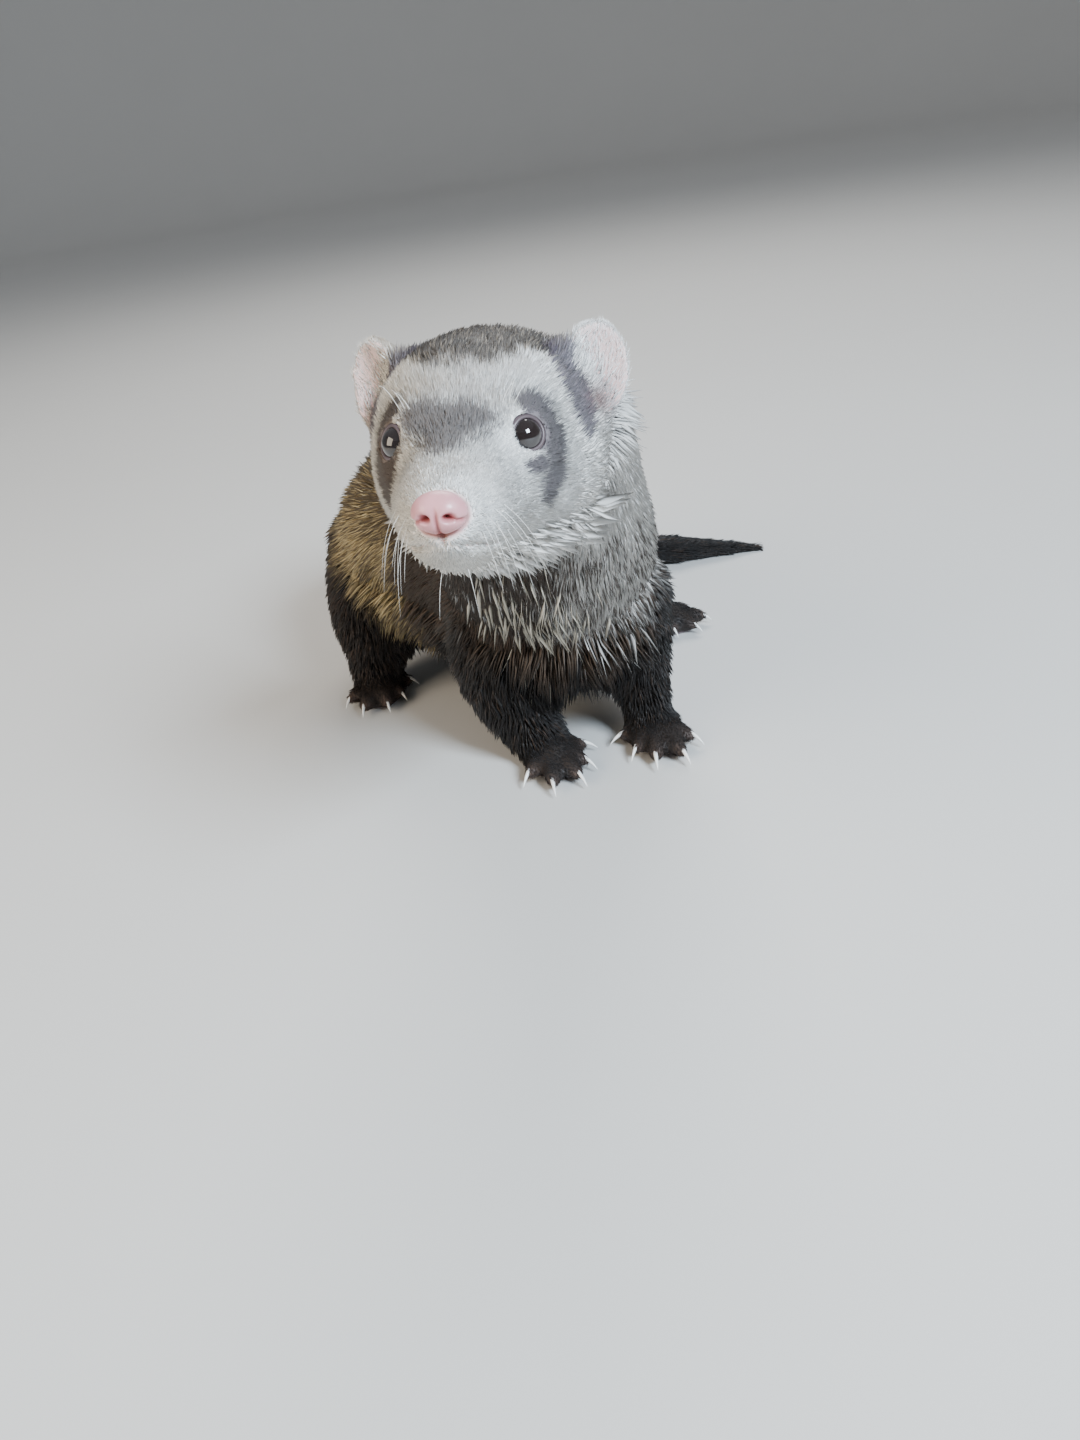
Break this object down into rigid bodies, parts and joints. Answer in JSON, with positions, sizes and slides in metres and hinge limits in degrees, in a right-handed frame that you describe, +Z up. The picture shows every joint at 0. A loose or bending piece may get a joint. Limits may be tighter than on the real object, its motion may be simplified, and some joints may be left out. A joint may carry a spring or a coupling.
{
  "type": "young ferret, still model",
  "caption": "Life-size still model of a young ferret standing on its paws, head raised and turned, tail laid along the floor behind it.",
  "frame": {"origin": "middle of the box round the whole model, on the floor that its paws and tail rest on", "axes": "+Z up, -Y the way the animal faces, +X its left side"},
  "size_m": [0.1498, 0.2218, 0.121],
  "materials": {
    "coat_cream": "soft short cream coat",
    "coat_grey": "soft grey-brown coat with light tips",
    "coat_brown": "yellowish-buff undercoat under dark guard hairs",
    "coat_black": "soft black-brown coat",
    "nose_skin": "moist pink skin, softly pebbled",
    "eye": "wet gloss",
    "claw": "smooth horn, satin"
  },
  "bodies": {
    "root": {"head": "coat_cream", "nose": "nose_skin", "eye_left": "eye", "eye_right": "eye", "ear_left": "coat_cream", "ear_right": "coat_cream", "neck": "coat_grey", "torso": "coat_brown", "tail_base": "coat_black", "tail_middle": "coat_black", "tail_tip": "coat_black", "fore_leg_right": "coat_black", "fore_leg_left": "coat_black", "hind_leg_right": "coat_black", "hind_leg_left": "coat_black", "fore_paw_right": "coat_black", "fore_paw_right_claw_1": "claw", "fore_paw_right_claw_2": "claw", "fore_paw_right_claw_3": "claw", "fore_paw_right_claw_4": "claw", "fore_paw_right_claw_5": "claw", "fore_paw_left": "coat_black", "fore_paw_left_claw_1": "claw", "fore_paw_left_claw_2": "claw", "fore_paw_left_claw_3": "claw", "fore_paw_left_claw_4": "claw", "fore_paw_left_claw_5": "claw", "hind_paw_right": "coat_black", "hind_paw_right_claw_1": "claw", "hind_paw_right_claw_2": "claw", "hind_paw_right_claw_3": "claw", "hind_paw_right_claw_4": "claw", "hind_paw_right_claw_5": "claw", "hind_paw_left": "coat_black", "hind_paw_left_claw_1": "claw", "hind_paw_left_claw_2": "claw", "hind_paw_left_claw_3": "claw", "hind_paw_left_claw_4": "claw", "hind_paw_left_claw_5": "claw"}
  },
  "joints": []
}
